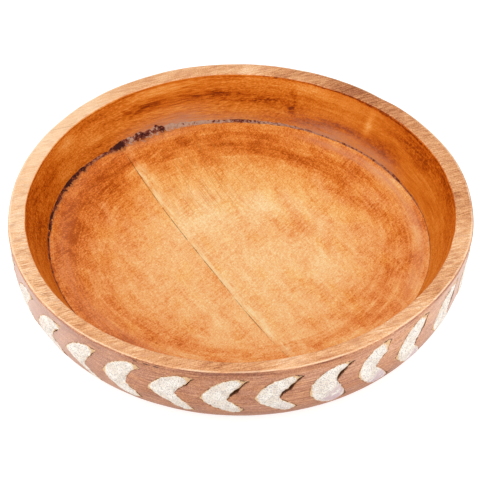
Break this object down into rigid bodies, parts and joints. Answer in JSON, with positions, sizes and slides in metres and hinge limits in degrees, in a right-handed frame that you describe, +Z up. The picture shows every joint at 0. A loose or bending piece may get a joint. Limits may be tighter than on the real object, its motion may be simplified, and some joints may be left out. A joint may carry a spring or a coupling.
{
  "type": "carved wooden bowl",
  "caption": "Wide shallow round wooden bowl with a flat rim, a separate glued-in floor and a band of white inlaid chevrons carved round its outer wall.",
  "frame": {"origin": "centre of the flat base, on the surface it stands on", "axes": "+Z up along the bowl's axis; +X to the right and -Y towards the viewer, who sees the carved front with its chevrons pointing left"},
  "size_m": [0.3048, 0.3048, 0.0545],
  "materials": {
    "wall_wood": "oiled inside and on the rim, matte outside",
    "floor_wood": "oiled, satin",
    "filler": "matte putty",
    "inlay_white": "rough, chalky"
  },
  "bodies": {
    "root": {"wall_board_front": "wall_wood", "wall_board_rear": "wall_wood", "wall_board_left": "wall_wood", "wall_board_right": "wall_wood", "floor_board_left": "floor_wood", "floor_board_right": "floor_wood", "joint_filler_bead": "filler", "chevron_fill_01": "inlay_white", "chevron_fill_02": "inlay_white", "chevron_fill_03": "inlay_white", "chevron_fill_04": "inlay_white", "chevron_fill_05": "inlay_white", "chevron_fill_06": "inlay_white", "chevron_fill_07": "inlay_white", "chevron_fill_08": "inlay_white", "chevron_fill_09": "inlay_white", "chevron_fill_10": "inlay_white", "chevron_fill_11": "inlay_white", "chevron_fill_12": "inlay_white", "chevron_fill_13": "inlay_white", "chevron_fill_14": "inlay_white", "chevron_fill_15": "inlay_white", "chevron_fill_16": "inlay_white", "chevron_fill_17": "inlay_white", "chevron_fill_18": "inlay_white", "chevron_fill_19": "inlay_white", "chevron_fill_20": "inlay_white", "chevron_fill_21": "inlay_white", "chevron_fill_22": "inlay_white", "chevron_fill_23": "inlay_white", "chevron_fill_24": "inlay_white", "chevron_fill_25": "inlay_white", "chevron_fill_26": "inlay_white", "chevron_fill_27": "inlay_white", "chevron_fill_28": "inlay_white"}
  },
  "joints": []
}
